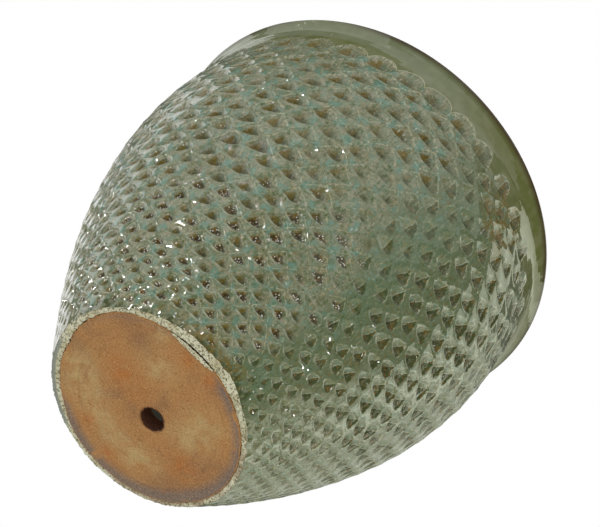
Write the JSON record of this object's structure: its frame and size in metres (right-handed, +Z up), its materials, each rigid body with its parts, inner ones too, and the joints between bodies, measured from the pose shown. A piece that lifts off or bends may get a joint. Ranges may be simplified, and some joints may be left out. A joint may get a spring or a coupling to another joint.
{
  "type": "carved ceramic planter pot",
  "caption": "Hand-thrown stoneware planter with a narrow bare-clay foot, a wall carved all over in staggered diamond pits under a pooled green glaze, and a plain flared collar.",
  "frame": {"origin": "centre of the foot's resting face", "axes": "+Z up along the axis of the wall, -Y towards the side of the foot that carries the lifted flake of glaze"},
  "size_m": [0.2998, 0.3, 0.2751],
  "materials": {
    "bare_clay": "bare fired stoneware, orange brown, matt",
    "green_glaze": "glossy grey-green glaze, pooled deep green and olive in the pits",
    "olive_glaze": "glossy olive green glaze, brown at the lip",
    "dried_glaze": "pale grainy glaze, pitted",
    "lining_glaze": "glossy olive green glaze"
  },
  "bodies": {
    "root": {"foot_slab": "bare_clay", "carved_wall": "green_glaze", "rim_collar": "olive_glaze", "foot_crust": "dried_glaze", "crust_flake": "dried_glaze", "glaze_lining": "lining_glaze"}
  },
  "joints": []
}
